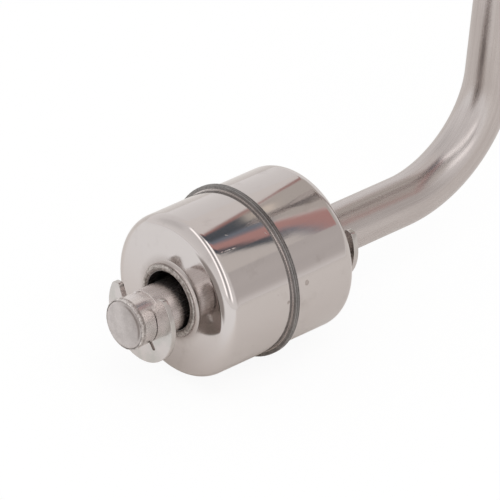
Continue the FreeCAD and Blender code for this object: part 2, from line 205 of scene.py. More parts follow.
# Marks on the float's side: degrees round from +Y and mm from the seam along X. A scratch then
# has its heading in radians and half its length, and a dried spot its radius, both in mm.
SCRATCHES = [(122.0, -8.8, 0.08, 1.9), (112.0, -7.5, 0.5, 0.5), (122.0, -1.4, 1.2, 0.4),
             (236.0, 5.0, 0.5, 1.4), (20.0, -6.0, 0.3, 1.8)]
SPOTS = [(164.0, 2.6, 0.42), (172.0, -1.3, 0.3), (285.0, -5.0, 0.4)]
MARK_RADIUS = 12.75  # mm from the float's axis


# ---- node trees

class Link:
    """An output socket. Arithmetic on it adds Math nodes."""

    def __init__(self, board, socket):
        self.board = board
        self.socket = socket

    def math(self, operation, *others):
        """A Math node that has this value as its first."""
        return self.board.math(operation, self, *others)

    __add__ = __radd__ = partialmethod(math, "ADD")
    __sub__ = partialmethod(math, "SUBTRACT")
    __mul__ = __rmul__ = partialmethod(math, "MULTIPLY")
    __truediv__ = partialmethod(math, "DIVIDE")
    smallest = partialmethod(math, "MINIMUM")
    largest = partialmethod(math, "MAXIMUM")

    def __rsub__(self, other):
        return self.board.math("SUBTRACT", other, self)

    def hump(self, centre, half):
        """1 at centre, falling softly to 0 at half a width to either side."""
        top = half * 0.2
        return self.step(centre - half, centre - top) * self.step(centre + half, centre + top)

    def step(self, low, high):
        """0 below low, 1 above high and a soft slope between; falls where high is the smaller."""
        inputs = {"Value": self, "From Min": low, "From Max": high}
        return self.board.add("ShaderNodeMapRange", inputs, interpolation_type="SMOOTHSTEP")


class Board:
    """A node tree that is being built."""

    def __init__(self, tree):
        self.tree = tree

    def add(self, kind, inputs=None, out=0, **settings):
        """Adds a node with its settings and the value or link of each input."""
        node = self.tree.nodes.new(kind)
        for name, value in settings.items():
            setattr(node, name, value)
        for key, value in (inputs or {}).items():
            if isinstance(value, Link):
                self.tree.links.new(value.socket, node.inputs[key])
            else:
                node.inputs[key].default_value = value
        return Link(self, node.outputs[out]) if node.outputs else node

    def ramp(self, factor, stops):
        """Colour ramp with these (position, colour) stops."""
        made = self.add("ShaderNodeValToRGB", {0: factor})
        elements = made.socket.node.color_ramp.elements
        while len(elements) < len(stops):
            elements.new(1.0)
        for element, (position, tone) in zip(elements, stops):
            element.position = position
            element.color = (*tone, 1.0)
        return made

    def math(self, operation, *values):
        return self.add("ShaderNodeMath", dict(enumerate(values)), operation=operation)

    def vector(self, operation, *values, out=0):
        return self.add("ShaderNodeVectorMath", dict(enumerate(values)), out, operation=operation)

    def span(self, vector):
        """Length of a vector."""
        return self.vector("LENGTH", vector, out=1)

    def split(self, vector):
        node = self.tree.nodes.new("ShaderNodeSeparateXYZ")
        self.tree.links.new(vector.socket, node.inputs[0])
        return [Link(self, output) for output in node.outputs]

    def join(self, x, y, z):
        return self.add("ShaderNodeCombineXYZ", {0: x, 1: y, 2: z})

    def mix(self, factor, a, b):
        """Colour a, turning into colour b as the factor goes to 1."""
        inputs = {0: factor, 6: self.with_alpha(a), 7: self.with_alpha(b)}
        return self.add("ShaderNodeMix", inputs, 2, data_type="RGBA")

    @staticmethod
    def with_alpha(value):
        return value if isinstance(value, Link) else (*value, 1.0)

    def noise(self, scale, detail=2.0, roughness=0.5, at=None):
        return self.add("ShaderNodeTexNoise", {
            "Vector": at or self.here, "Scale": scale, "Detail": detail, "Roughness": roughness})

    def streaks(self, axes, scales, detail=2.0, roughness=0.5):
        """Noise with a scale for each axis, drawn out along those with the smaller ones."""
        at = self.join(*(axis * scale for axis, scale in zip(axes, scales)))
        return self.noise(1.0, detail, roughness, at)

    def bump(self, height, distance, normal=None):
        inputs = {"Height": height, "Distance": distance, "Strength": 1.0}
        if normal is not None:
            inputs["Normal"] = normal
        return self.add("ShaderNodeBump", inputs)

    def rays(self):
        """Three links: 1 for rays from the camera, from glossy surfaces, through glass."""
        path = self.tree.nodes.new("ShaderNodeLightPath")
        return [Link(self, path.outputs[name])
                for name in ("Is Camera Ray", "Is Glossy Ray", "Is Transmission Ray")]


class Skin(Board):
    """The node tree of a new material. Its here is the position in the part's own frame."""

    def __init__(self, name):
        self.material = bpy.data.materials.new(name)
        self.material.use_nodes = True
        self.material.node_tree.nodes.clear()
        super().__init__(self.material.node_tree)
        self.here = self.add("ShaderNodeTexCoord", out=3)

    def two_tone(self, coarse, fine, part, dark, light):
        """Colour from dark to light by two noises; part is the coarse one's share."""
        tone = coarse * part + fine * (1 - part)
        return self.mix(tone.step(0.35, 0.65), dark, light)

    def glow(self, tone, strength=1.0):
        inputs = {"Color": self.with_alpha(tone), "Strength": strength}
        return self.add("ShaderNodeEmission", inputs)

    def mix_shaders(self, factor, a, b):
        return self.add("ShaderNodeMixShader", {0: factor, 1: a, 2: b})

    def close(self, shader):
        """Sends a shader to the output and returns the finished material."""
        self.add("ShaderNodeOutputMaterial", {"Surface": shader})
        return self.material

    def surface(self, tone, rough, **sockets):
        """Closes with a Principled shader that has these sockets."""
        names = {name.replace("_", " "): value for name, value in sockets.items()}
        names.update({"Base Color": tone, "Roughness": rough})
        return self.close(self.add("ShaderNodeBsdfPrincipled", names))

    def steel(self, tone, rough, normal):
        return self.surface(tone, rough, Metallic=1.0, Normal=normal)


# ---- meshes

def rounded(corners, steps):
    """Points through corners, each of them a place in the plane and the radius that rounds it."""
    points = []
    total = len(corners)
    for i, (a, r, radius) in enumerate(corners):
        here = Vector((a, r))
        if radius == 0:
            points.append(here)
            continue
        before = (Vector(corners[i - 1][:2]) - here).normalized()
        after = (Vector(corners[(i + 1) % total][:2]) - here).normalized()
        half = before.angle(after) / 2
        centre = here + (before + after).normalized() * (radius / math.sin(half))
        start = here + before * (radius / math.tan(half)) - centre
        end = here + after * (radius / math.tan(half)) - centre
        turn = start.angle_signed(end)
        for k in range(steps + 1):
            points.append(centre + Matrix.Rotation(-turn * k / steps, 2) @ start)
    return points


def ring_point(axis, centre, along, radius, angle):
    """A point at a distance along the axis, 0 for X and 2 for Z, and a radius from it."""
    c = radius * math.cos(angle)
    s = radius * math.sin(angle)
    offset = (along, c, s) if axis == 0 else (c, s, along)
    return Vector(centre) + Vector(offset)


def turned(profile, centre, sides, axis=0, closed=True):
    """Mesh of a profile of (along, radius) points turned about an axis through centre."""
    shape = bmesh.new()
    rings = []
    for along, radius in profile:
        if radius < HAIR:
            pole = shape.verts.new(ring_point(axis, centre, along, 0, 0))
            rings.append([pole] * sides)
            continue
        angles = (2 * math.pi * k / sides for k in range(sides))
        rings.append([shape.verts.new(ring_point(axis, centre, along, radius, a)) for a in angles])
    pairs = list(zip(rings, rings[1:]))
    if closed:
        pairs.append((rings[-1], rings[0]))
    for low, high in pairs:
        for k in range(sides):
            corner = list(dict.fromkeys([low[k - 1], low[k], high[k], high[k - 1]]))
            if len(corner) > 2:
                shape.faces.new(corner)
    return shape


def finish_mesh(shape, name, sharp=32):
    """Mesh from a bmesh: outward faces, smooth but for its sharp edges."""
    bmesh.ops.recalc_face_normals(shape, faces=shape.faces)
    mesh = bpy.data.meshes.new(name)
    shape.to_mesh(mesh)
    shape.free()
    smooth(mesh, sharp)
    return mesh


def smooth(mesh, sharp):
    mesh.shade_smooth()
    mesh.set_sharp_from_angle(angle=math.radians(sharp))


def new_object(name, mesh):
    piece = bpy.data.objects.new(name, mesh)
    bpy.context.scene.collection.objects.link(piece)
    return piece


def turned_piece(name, profile, centre, sides, axis=0, closed=True, sharp=32):
    """Object of a profile turned about an axis."""
    return new_object(name, finish_mesh(turned(profile, centre, sides, axis, closed), name, sharp))


def joined(shape, distance):
    """Joins the points of a bmesh that lie nearer than the distance."""
    bmesh.ops.remove_doubles(shape, verts=shape.verts, dist=distance)


def dress(piece, body, node, *materials):
    """Gives a finished piece its materials and its body, and hides the node that it stands for."""
    piece.data.materials.clear()
    for material in materials:
        piece.data.materials.append(material)
    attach(piece, body)
    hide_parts(node)


def baked(piece):
    """Turns the result of a piece's modifiers into its plain mesh."""
    graph = bpy.context.evaluated_depsgraph_get()
    mesh = bpy.data.meshes.new_from_object(piece.evaluated_get(graph), preserve_all_data_layers=True,
                                           depsgraph=graph)
    piece.modifiers.clear()
    piece.data = mesh


def with_nodes(piece, group, **values):
    """Runs a geometry tree on a piece, with values for its named inputs."""
    modifier = piece.modifiers.new(group.name, "NODES")
    modifier.node_group = group
    sockets = {item.name: item.identifier for item in group.interface.items_tree
               if item.in_out == "INPUT"}
    for name, value in values.items():
        modifier[sockets[name.replace("_", " ")]] = value
    baked(piece)


def geometry_tree(name, **inputs):
    """A geometry tree with the named inputs of each kind, its board, and their links."""
    group = bpy.data.node_groups.new(name, "GeometryNodeTree")
    group.interface.new_socket("Geometry", in_out="INPUT", socket_type="NodeSocketGeometry")
    group.interface.new_socket("Geometry", in_out="OUTPUT", socket_type="NodeSocketGeometry")
    for kind, labels in inputs.items():
        for label in labels:
            group.interface.new_socket(label, in_out="INPUT", socket_type="NodeSocket" + kind)
    board = Board(group)
    source = group.nodes.new("NodeGroupInput")
    links = {output.name: Link(board, output) for output in source.outputs if output.name}
    return group, board, links


def close_tree(board, geometry, material):
    """Ends a geometry tree in Realize Instances and Set Material."""
    real = board.add("GeometryNodeRealizeInstances", {0: geometry})
    made = board.add("GeometryNodeSetMaterial", {"Geometry": real, "Material": material})
    board.add("NodeGroupOutput", {0: made})


# ---- finishes

def look():
    return bpy.context.scene.switch_finishes


def on_side(turn, along):
    """A place on the float's side: degrees from +Y towards +Z, and mm from the seam along X."""
    angle = math.radians(turn)
    out = Vector((0, math.cos(angle), math.sin(angle))) * MARK_RADIUS
    return FLOAT_AXIS + (Vector((along, 0, 0)) + out) * MM


def scratches(b):
    """Mask of the few deeper scratches on the float's side."""
    waver = (b.noise(1500.0, 1.0) - 0.5) * (0.2 * MM)
    total = 0.0
    for turn, along, heading, reach in SCRATCHES:
        angle = math.radians(turn)
        around = Vector((0, -math.sin(angle), math.cos(angle)))
        way = Vector((math.cos(heading), 0, 0)) + around * math.sin(heading)
        arm = b.vector("SUBTRACT", b.here, on_side(turn, along))
        along_it = b.vector("DOT_PRODUCT", arm, way, out=1)
        foot = b.vector("MULTIPLY", b.join(along_it, along_it, along_it), way)
        off = b.span(b.vector("SUBTRACT", arm, foot)) + waver
        total = off.step(0.09 * MM, 0.02 * MM) * along_it.hump(0.0, reach * MM) + total
    return total.smallest(1.0)


def dried_spots(b):
    """Mask of the dried spots on the float's side, each darker round its rim."""
    waver = (b.noise(1400.0, 2.0) - 0.5) * (0.5 * MM)
    total = 0.0
    for turn, along, size in SPOTS:
        radius = size * MM
        off = b.span(b.vector("SUBTRACT", b.here, on_side(turn, along))) + waver
        inner = off.step(radius, radius * 0.6) * 0.55
        rim = off.hump(radius * 0.7, 0.14 * MM) * 0.3
        total = inner + rim + total
    return total.smallest(1.0)


def polished_steel():
    """Float sheet: buffed to a mirror, with faint lathe lines, smudges and specks, and painted shade
    round its necks.
    """
    b = Skin("polished_steel")
    x, y, z = b.split(b.vector("SUBTRACT", b.here, FLOAT_AXIS))
    radius = b.span(b.join(0.0, y, z))
    lines = b.streaks((x + radius, y, z), (9000, 120, 120), 3.0)
    smudge = b.noise(260, 4.0, 0.6)
    swell = b.noise(75, 1.0)
    speck = b.add("ShaderNodeTexVoronoi", {"Vector": b.here, "Scale": 900.0})
    dots = speck.step(0.09, 0.04) * b.noise(420, 2.0).step(0.6, 0.68)
    # Painted shade round each neck: the sheet darkens inside a radius of 7.4 mm.
    neck = radius.step(7.4 * MM, 5.6 * MM)
    marks = scratches(b)
    spots = dried_spots(b)
    # Real smudges, specks and dried spots, together with the painted shade round the necks.
    stain_and_neck_shade = (smudge.step(0.55, 0.8) * 0.25 + neck * 0.45 + dots * 0.5 + spots * 0.8).smallest(1.0)
    tone = b.mix(stain_and_neck_shade, look().steel, (0.30, 0.25, 0.225))
    tone = b.mix(marks, tone, (0.86, 0.84, 0.82))
    rough = 0.065 + smudge * 0.05 + neck * 0.12 + dots * 0.3 + spots * 0.25 + marks * 0.6
    return b.steel(tone, rough, b.bump(lines, 1.2e-7, b.bump(swell, 3.0e-5)))


def satin_steel():
    """Drawn tube: streaks along its run, finer scratches, and painted light that makes its free end
    lighter.
    """
    b = Skin("satin_steel")
    rim = b.add("ShaderNodeAttribute", None, 1, attribute_name="rim")
    run = b.add("ShaderNodeAttribute", None, 2, attribute_name="run")
    axes = (*b.split(rim)[:2], run)
    streak = b.streaks(axes, (9, 9, 45), 4.0, 0.6)
    fine = b.streaks(axes, (40, 40, 110), 3.0, 0.6)
    cloud = b.streaks(axes, (1.4, 1.4, 130))
    grain = b.noise(5200.0, 2.0, 0.6)
    shade = streak * 0.5 + fine * 0.3 + cloud * 0.2
    # Painted light: the free end beyond the float is made lighter in colour.
    painted_light_end = b.split(b.here)[0].step(SHELL_LOW.x + 1 * MM, SHELL_LOW.x - 3 * MM)
    tone = b.mix(shade.step(0.3, 0.7), (0.50, 0.452, 0.436), look().steel)
    tone = b.mix(painted_light_end * (0.35 + shade * 0.4), tone, (0.86, 0.81, 0.79))
    rough = 0.15 + fine * 0.12 + cloud * 0.06 + grain * 0.05
    normal = b.bump(fine * 0.4 + grain * 0.6, 5.0e-6, b.bump(streak, 6.0e-6))
    return b.steel(tone, rough, normal)


def bar_steel(crest):
    """Hexagon and stud: bright drawn bar, its thread darker in the roots."""
    b = Skin("bar_steel")
    x, y, z = b.split(b.here)
    drawn = b.streaks((x, y, z), (3200, 3200, 160), 3.0, 0.6)
    cloud = b.noise(260, 3.0, 0.6)
    radius = b.span(b.join(x, y, 0.0))
    end = FITTING_HIGH.z
    root = radius.step(crest - 0.25 * MM, crest - 0.8 * MM)
    root = root * z.step(end - 0.01 * MM, end - 0.1 * MM)
    tone = b.two_tone(drawn, cloud, 0.6, (0.55, 0.515, 0.50), (0.68, 0.645, 0.63))
    tone = b.mix(root * 0.7, tone, (0.30, 0.27, 0.25))
    rough = 0.17 + drawn * 0.12 + cloud * 0.05 + root * 0.1
    return b.steel(tone, rough, b.bump(cloud, 4.0e-6, b.bump(drawn, 1.5e-6)))


def turned_steel():
    """Plug: a dull turned skin."""
    b = Skin("turned_steel")
    cloud = b.noise(600, 3.0, 0.6)
    fine = b.noise(5200, 2.0, 0.6)
    tone = b.two_tone(cloud, fine, 0.6, (0.46, 0.42, 0.405), (0.58, 0.535, 0.52))
    return b.steel(tone, 0.26 + cloud * 0.16, b.bump(fine, 2.0e-6, b.bump(cloud, 1.0e-5)))


def clip_steel():
    """Stamped spring steel: smooth rolled faces."""
    b = Skin("clip_face")
    grain = b.streaks((0.0, *b.split(b.here)[1:]), (0, 500, 5000), 3.0)
    cloud = b.noise(420, 3.0)
    tone = b.mix(cloud.step(0.4, 0.7), look().steel, (0.52, 0.50, 0.475))
    return b.steel(tone, 0.10 + cloud * 0.12, b.bump(grain, 6.0e-7))


def cut_steel():
    """Sheared edge of a stamping: torn lines across the sheet."""
    b = Skin("clip_edge")
    axes = b.split(b.here)
    tears = b.streaks(axes, (900, 6000, 6000), 3.0, 0.7)
    burnish = b.streaks(axes, (5200, 300, 300), 1.0)
    tone = b.two_tone(tears, burnish, 0.6, (0.045, 0.038, 0.034), (0.15, 0.135, 0.125))
    return b.steel(tone, 0.32 + tears * 0.2, b.bump(tears, 1.2e-5))


def weld_steel(name, dark, light, cell):
    """Weld metal: grey skin with brighter crests and fine pits; cell is the grain's size."""
    b = Skin(name)
    patch = b.noise(0.35 / cell, 4.0, 0.65)
    grain = b.noise(1 / cell, 3.0, 0.7)
    shade = (patch * 0.5 + grain * 0.5).step(0.38, 0.66)
    return b.steel(b.mix(shade, dark, light), 0.46 - shade * 0.2, b.bump(grain, cell * 0.12))


def seam_crest():
    """Crest of the float's seam: dull weld metal, cross-hatched by the rollers."""
    b = Skin("seam_crest")
    x, y, z = b.split(b.vector("SUBTRACT", b.here, FLOAT_AXIS))
    arc = z.math("ARCTAN2", y) * 13.4
    rows = [(arc * 19 + x * (lean * 9 / MM)).math("SINE") for lean in (1, -1)]
    hatch = rows[0] * rows[1] * 0.5 + 0.5
    grain = b.noise(3600.0, 3.0, 0.7)
    patch = b.noise(500.0)
    shade = hatch * 0.35 + grain * 0.45 + patch * 0.2
    tone = b.mix(shade.step(0.3, 0.72), scaled(look().seam, 0.45), scaled(look().seam, 1.8))
    return b.steel(tone, 0.42, b.bump(shade, 1.5e-5))


def scaled(base, factor):
    """A darker or lighter colour, at most 1."""
    return tuple(min(1.0, part * factor) for part in base)


def plastic(name, dark, light, rough, cell, depth):
    """Moulded or cast plastic: a mottled skin with a fine grain."""
    b = Skin(name)
    mottle = b.noise(0.2 / cell, 3.0)
    grain = b.noise(1 / cell, 3.0, 0.6)
    tone = b.two_tone(mottle, grain, 0.7, dark, light)
    return b.surface(tone, rough + (grain - 0.5) * 0.15, Normal=b.bump(grain, depth))


def clear_glass():
    """Green glass of the reed contact, with drawn streaks."""
    b = Skin("green_glass")
    streak = b.streaks(b.split(b.here), (80, 1500, 1500))
    tone = b.mix(streak.step(0.4, 0.6), (0.55, 0.82, 0.66), (0.62, 0.88, 0.72))
    return b.surface(tone, 0.04 + streak * 0.04, Transmission_Weight=0.9, IOR=1.5)


def metal(name, dark, light, rough, cell):
    """Plain drawn or pressed metal of the inner parts."""
    b = Skin(name)
    drawn = b.streaks(b.split(b.here), (0.2 / cell, 1 / cell, 1 / cell), 3.0)
    tone = b.mix(drawn.step(0.35, 0.65), dark, light)
    return b.steel(tone, rough + drawn * 0.12, b.bump(drawn, cell * 0.02))


# ---- geometry trees

def sweep_tree(material):
    """Sweeps a ring along the piece's edges; each point's ring_radius is the ring's radius."""
    group, b, inputs = geometry_tree("swept_tube", Int=["Sides"])

    def store(geometry, kind, name, value):
        return b.add("GeometryNodeStoreNamedAttribute", {
            "Geometry": geometry, "Name": name, "Value": value}, data_type=kind, domain="POINT")

    path = b.add("GeometryNodeMeshToCurve", {"Mesh": inputs["Geometry"]})
    path = store(path, "FLOAT", "run", b.add("GeometryNodeSplineParameter", out=1))
    ring = b.add("GeometryNodeCurvePrimitiveCircle", {"Resolution": inputs["Sides"], "Radius": 1.0})
    ring = store(ring, "FLOAT_VECTOR", "rim", b.add("GeometryNodeInputPosition"))
    radius = b.add("GeometryNodeInputNamedAttribute", {"Name": "ring_radius"}, data_type="FLOAT")
    tube = b.add("GeometryNodeCurveToMesh", {"Curve": path, "Profile Curve": ring, "Scale": radius})
    close_tree(b, tube, material)
    return group


def ripple_tree(material):
    """Sinks ripples and an uneven skin into a bead, round the given axis."""
    group, b, inputs = geometry_tree("weld_ripples", Vector=["Axis Point", "Side", "Up"],
                                     Float=["Ripples", "Slant", "Depth", "Grain", "Seed"])
    here = b.add("GeometryNodeInputPosition")
    arm = b.vector("SUBTRACT", here, inputs["Axis Point"])
    ways = (inputs["Side"], inputs["Up"], b.vector("CROSS_PRODUCT", inputs["Side"], inputs["Up"]))
    side, up, along = [b.vector("DOT_PRODUCT", arm, way, out=1) for way in ways]
    moved = b.vector("ADD", here, b.join(inputs["Seed"], inputs["Seed"], inputs["Seed"]))
    wander = b.noise(400.0, at=moved)
    skin = b.noise(inputs["Grain"], 3.0, 0.65, moved)
    phase = up.math("ARCTAN2", side) * inputs["Ripples"] + along * inputs["Slant"] + wander * 5.0
    wave = phase.math("SINE") * 0.5 + 0.5
    sink = (wave * 0.55 + skin * 0.8) * inputs["Depth"]
    offset = b.add("ShaderNodeVectorMath", {
        0: b.add("GeometryNodeInputNormal"), "Scale": sink * -1.0}, operation="SCALE")
    made = b.add("GeometryNodeSetPosition", {"Geometry": inputs["Geometry"], "Offset": offset})
    close_tree(b, made, material)
    return group


def thread_tree(material):
    """Threaded stud: a fine sheet rolled round +Z, with its radius set by the helix."""
    group, b, inputs = geometry_tree("stud_thread", Int=["Sides", "Rows"], Float=[
        "Foot", "Length", "Crest", "Depth", "Pitch", "Bevel", "Relief", "Relief Radius"])
    sheet = b.add("GeometryNodeMeshGrid", {
        "Size X": 1.0, "Size Y": 1.0, "Vertices X": inputs["Sides"] + 1, "Vertices Y": inputs["Rows"]})
    x, y, _ = b.split(b.add("GeometryNodeInputPosition"))
    turn = x + 0.5
    height = (y + 0.5) * inputs["Length"]
    turns = (height - inputs["Length"] + inputs["Bevel"]) / inputs["Pitch"] - turn + 0.5
    flank = ((turns + 32).math("FRACT") * 2 - 1).math("ABSOLUTE")
    crest = b.add("ShaderNodeMapRange", {"Value": flank, "From Min": 0.2, "From Max": 0.85})
    radius = inputs["Crest"] - inputs["Depth"] + crest * inputs["Depth"]
    bevel = inputs["Crest"] - inputs["Bevel"] + (inputs["Length"] - height)
    relief = inputs["Relief Radius"] + (height - inputs["Relief"]).largest(0.0)
    radius = radius.smallest(bevel).smallest(relief)
    angle = turn * (2 * math.pi)
    at = b.join(radius * angle.math("COSINE"), radius * angle.math("SINE"), height + inputs["Foot"])
    made = b.add("GeometryNodeSetPosition", {"Geometry": sheet, "Position": at})
    made = b.add("GeometryNodeMergeByDistance", {"Geometry": made, "Distance": HAIR})
    close_tree(b, made, material)
    return group


# ---- operators

def bend_points(bend_radius, steps=60):
    """Points of the tube's centre line through the bend."""
    centre = Vector((-bend_radius, 0, LEG_AXIS.z + bend_radius))
    angles = [math.pi / 2 * k / steps for k in range(steps + 1)]
    return [centre + bend_radius * Vector((math.sin(a), 0, -math.cos(a))) for a in angles]


def edge_paths(name, runs):
    """Object of bare edges through the (point, radius) stations of each run."""
    points = [station for run in runs for station in run]
    edges = []
    first = 0
    for run in runs:
        edges += [(first + k, first + k + 1) for k in range(len(run) - 1)]
        first += len(run)
    mesh = bpy.data.meshes.new(name)
    mesh.from_pydata([point for point, _ in points], edges, [])
    radii = mesh.attributes.new("ring_radius", "FLOAT", "POINT")
    radii.data.foreach_set("value", [radius for _, radius in points])
    return new_object(name, mesh)


class SWITCH_OT_stem(bpy.types.Operator):
    """Sweep the bent tube of the stem, with its two grooves and its bore"""
    bl_idname = "switch.stem"
    bl_label = "Stem"

    def execute(self, context):
        sizes = context.scene.switch_stem
        radius = STEM_HIGH.y
        groove_r = radius - sizes.groove_depth
        bore = radius - sizes.wall
        slope = 0.06 * MM
        drop = 0.05 * MM
        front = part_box("front_clip")[0].x - sizes.groove_play
        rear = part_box("rear_clip")[0].x
        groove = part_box("rear_clip")[1].x - rear + sizes.groove_play
        outside = [(STEM_LOW.x, bore), (STEM_LOW.x + HAIR, radius)]
        for start in (front, rear):
            end = start + groove
            outside += [(start - slope, radius), (start, radius - drop), (start + HAIR, groove_r),
                        (end - HAIR, groove_r), (end, radius - drop), (end + slope, radius)]
        bend = bend_points(sizes.bend_radius)
        top = Vector((0, 0, STEM_HIGH.z))
        stations = [(Vector((x, 0, LEG_AXIS.z)), r) for x, r in outside]
        stations += [(point, radius) for point in bend]
        stations += [(top - Vector((0, 0, HAIR)), radius), (top, bore)]
        inside = [Vector((STEM_LOW.x, 0, LEG_AXIS.z)), *bend, top]
        piece = edge_paths("stem", [stations, [(point, bore) for point in inside]])
        satin = satin_steel()
        with_nodes(piece, sweep_tree(satin), Sides=sizes.sides)
        shape = bmesh.new()
        shape.from_mesh(piece.data)
        joined(shape, HAIR / 10)
        piece.data = finish_mesh(shape, "stem", sharp=25)
        dress(piece, "stem", "stem_tube", satin)
        return {"FINISHED"}


class SWITCH_OT_stem_end(bpy.types.Operator):
    """Turn the plug that closes the stem"""
    bl_idname = "switch.stem_end"
    bl_label = "Stem End"

    def execute(self, context):
        sizes = context.scene.switch_stem
        radius = PLUG_HIGH.y
        spigot = STEM_HIGH.y - sizes.wall - sizes.spigot_play
        profile = rounded([
            (PLUG_LOW.x, 0, 0), (PLUG_LOW.x, radius, sizes.end_edge), (STEM_LOW.x, radius, 0),
            (STEM_LOW.x, spigot, 0), (PLUG_HIGH.x, spigot, 0), (PLUG_HIGH.x, 0, 0)], steps=8)
        plug = turned_piece("stem_end_plug_turned", profile, LEG_AXIS, sizes.sides,
                            closed=False, sharp=35)
        dress(plug, "stem", "stem_end_plug", turned_steel())
        return {"FINISHED"}


def rounded_stamping(node, sizes):
    """Copy of a clip's solid with rounded rims; its sheared edge has the second material."""
    flat = 0.9  # a face is one of the two sheet faces if its normal is this much along X
    crease = 0.5  # radians
    shape = bmesh.new()
    shape.from_mesh(NODES[node].data)
    joined(shape, HAIR)
    bmesh.ops.dissolve_limit(shape, angle_limit=math.radians(0.5), verts=shape.verts,
                             edges=shape.edges)
    for side in shape.faces:
        side.normal_update()
        side.material_index = 0 if abs(side.normal.x) > flat else 1
    rims = [e for e in shape.edges if len(e.link_faces) == 2 and e.calc_face_angle() > crease]
    bmesh.ops.bevel(shape, geom=rims, offset=sizes.edge, segments=sizes.steps,
                    affect="EDGES", profile=0.5, clamp_overlap=True)
    return shape


class SWITCH_OT_clips(bpy.types.Operator):
    """Round the stamped edges of the two spring clips"""
    bl_idname = "switch.clips"
    bl_label = "Spring Clips"

    def execute(self, context):
        sizes = context.scene.switch_clips
        face = clip_steel()
        edge = cut_steel()
        hinge = (0, 0.6, 0.8)
        for node, out in (("front_clip", -1), ("rear_clip", 1)):
            shape = rounded_stamping(node, sizes)
            low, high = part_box(node)
            middle = Vector(((low.x + high.x) / 2, 0, LEG_AXIS.z))
            stand = middle + Vector((out * sizes.stand_back, 0, 0))
            tilt = Matrix.Translation(stand) @ Matrix.Rotation(-sizes.lean, 4, hinge)
            bmesh.ops.transform(shape, matrix=tilt @ Matrix.Translation(-middle), verts=shape.verts)
            piece = new_object(node + "_stamped", finish_mesh(shape, node, sharp=50))
            piece.modifiers.new("flat_faces", "WEIGHTED_NORMAL").keep_sharp = True
            baked(piece)
            dress(piece, "stem", node, face, edge)
        return {"FINISHED"}


class SWITCH_OT_float(bpy.types.Operator):
    """Turn the float's two polished cups and its guide tube"""
    bl_idname = "switch.float"
    bl_label = "Float"

    def execute(self, context):
        sizes = context.scene.switch_float
        polished = polished_steel()
        wall = sizes.wall
        guide_low, guide_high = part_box("float_guide_tube")
        guide_r = (guide_high.y - guide_low.y) / 2
        neck_end = guide_high.x - FLOAT_AXIS.x
        neck_bore = guide_r + sizes.guide_play
        neck_r = neck_bore + wall
        half = neck_end - sizes.neck
        corners = [
            (sizes.root, CUP_RADIUS, 0), (half, CUP_RADIUS, sizes.shoulder),
            (half, neck_r, sizes.flare), (neck_end, neck_r, 0), (neck_end, neck_bore, 0),
            (half - wall, neck_bore, sizes.flare + wall),
            (half - wall, CUP_RADIUS - wall, sizes.shoulder - wall),
            (sizes.root, CUP_RADIUS - wall, 0)]
        for name, out in (("float_front_shell", -1), ("float_rear_shell", 1)):
            profile = [(out * a, r) for a, r in rounded(corners, steps=24)]
            piece = turned_piece(name + "_drawn", profile, FLOAT_AXIS, sizes.sides)
            dress(piece, "float", name, polished)
        profile = [(-neck_end, guide_r - wall), (neck_end, guide_r - wall),
                   (neck_end, guide_r), (-neck_end, guide_r)]
        guide = turned_piece("float_guide_tube_drawn", profile, FLOAT_AXIS, 96)
        bore = metal("drawn_bore", (0.22, 0.20, 0.19), (0.42, 0.39, 0.375), 0.34, 0.2 * MM)
        dress(guide, "float", "float_guide_tube", bore)
        return {"FINISHED"}


def lay(body, node, form, profile, material, ripples, depth, grain, seed,
        slant=0.0, sides=360, centre=FLOAT_AXIS, axis=0):
    """Turns a bead and sinks its ripples; form is the ending of the piece's name."""
    piece = turned_piece(node + form, profile, centre, sides, axis)
    up = (0, 0, 1) if axis == 0 else (0, 1, 0)
    side = (0, 1, 0) if axis == 0 else (1, 0, 0)
    with_nodes(piece, ripple_tree(material), Axis_Point=tuple(centre), Side=side, Up=up,
               Ripples=float(ripples), Slant=slant, Depth=depth, Grain=grain, Seed=seed)
    smooth(piece.data, sharp=60)
    dress(piece, body, node, material)
    return piece


def lay_seam(sizes, float_sizes):
    crest = (SEAM_HIGH.y - SEAM_LOW.y) / 2
    half = (SEAM_HIGH.x - SEAM_LOW.x) / 2
    foot = CUP_RADIUS + sizes.seam_foot
    root = float_sizes.root
    rear = [(half, crest, sizes.seam_edge), (half, foot, 0), (half, CUP_RADIUS, 0),
            (root, CUP_RADIUS, 0), (root, CUP_RADIUS - float_sizes.wall, 0)]
    corners = [(-along, r, edge) for along, r, edge in reversed(rear)] + rear
    ridge = lay("float", "float_seam_weld", "_ridge", rounded(corners, steps=5), seam_crest(),
                sizes.seam_ripples, sizes.depth * 0.7, grain=1500.0, seed=0.3, slant=2600.0,
                sides=720)
    ridge.data.materials.append(bpy.data.materials.get("polished_steel") or polished_steel())
    for face in ridge.data.polygons:
        face.material_index = 1 if (face.center - FLOAT_AXIS).yz.length < foot else 0


def lay_mouths(sizes):
    material = weld_steel("mouth_weld", (0.25, 0.22, 0.20), (0.62, 0.57, 0.54), 0.2 * MM)
    half = sizes.mouth_width / 2
    steps = 12
    dome = [math.pi * k / steps for k in range(steps + 1)]
    for node, out in (("float_front_bead", -1), ("float_rear_bead", 1)):
        low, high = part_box(node)
        middle = (high.y - low.y) / 2 - half
        crown = out * (high.x - low.x)
        foot = (high.x if out < 0 else low.x) - FLOAT_AXIS.x
        profile = [(foot + crown * math.sin(t), middle + half * math.cos(t)) for t in dome]
        lay("float", node, "_bead", profile, material, sizes.mouth_ripples, sizes.depth * 1.4,
            grain=1800.0, seed=0.7 + out * 0.2)


